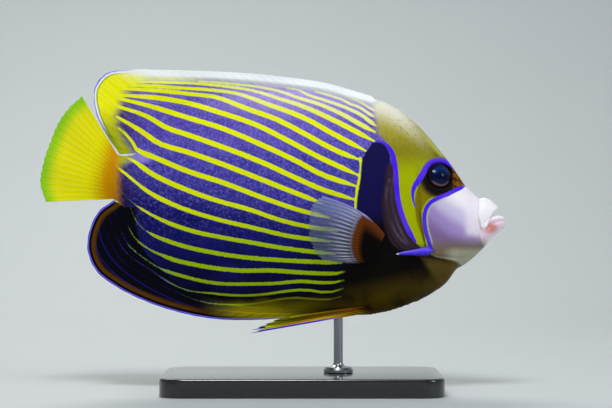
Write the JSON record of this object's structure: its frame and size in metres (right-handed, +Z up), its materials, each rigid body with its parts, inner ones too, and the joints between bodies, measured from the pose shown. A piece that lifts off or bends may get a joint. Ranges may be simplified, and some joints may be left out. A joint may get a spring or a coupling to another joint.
{
  "type": "emperor angelfish display model",
  "caption": "Life-size emperor angelfish in a swimming pose, fins spread, striped flank and masked eye, held by a steel rod over a plain black base.",
  "frame": {"origin": "centre of the whole model's outline on the surface that the stand rests on", "axes": "+X towards the mouth, +Y towards the fish's left flank, +Z up"},
  "size_m": [0.2511, 0.086, 0.1738],
  "materials": {
    "head_skin": "smooth painted skin, satin: olive nape and mask, pale cheek, blue and black lines",
    "lip_skin": "smooth painted skin, satin, pinkish white",
    "eye_lens": "clear gloss over a dark blue pupil and a purple brown iris",
    "gill_skin": "painted skin, satin: yellow band, blue line and navy",
    "spine_bone": "smooth, gloss, blue violet with a pale tip",
    "flank_skin": "finely scaled painted skin, satin: violet blue with narrow yellow stripes",
    "tail_skin": "finely scaled painted skin and rayed fin, satin, lemon yellow",
    "dorsal_skin": "rayed fin, satin: blue and yellow stripes, yellow lobe, pale edge",
    "anal_skin": "rayed fin, satin: near black with thin blue lines and a blue edge",
    "pectoral_skin": "clear pale blue membrane between white rays, dark at the root",
    "pelvic_skin": "rayed fin, satin: orange yellow with a blue leading edge",
    "black_lacquer": "black lacquered board, satin",
    "polished_steel": "polished stainless steel"
  },
  "bodies": {
    "root": {"head": "head_skin", "upper_lip": "lip_skin", "lower_lip": "lip_skin", "eye_right": "eye_lens", "eye_left": "eye_lens", "gill_cover_right": "gill_skin", "gill_cover_left": "gill_skin", "cheek_spine_right": "spine_bone", "cheek_spine_left": "spine_bone", "torso": "flank_skin", "tail_stalk": "tail_skin", "dorsal_fin": "dorsal_skin", "anal_fin": "anal_skin", "caudal_fin": "tail_skin", "pectoral_fin_right": "pectoral_skin", "pectoral_fin_left": "pectoral_skin", "pelvic_fin_right": "pelvic_skin", "pelvic_fin_left": "pelvic_skin", "stand_base": "black_lacquer", "stand_rod": "polished_steel"}
  },
  "joints": []
}
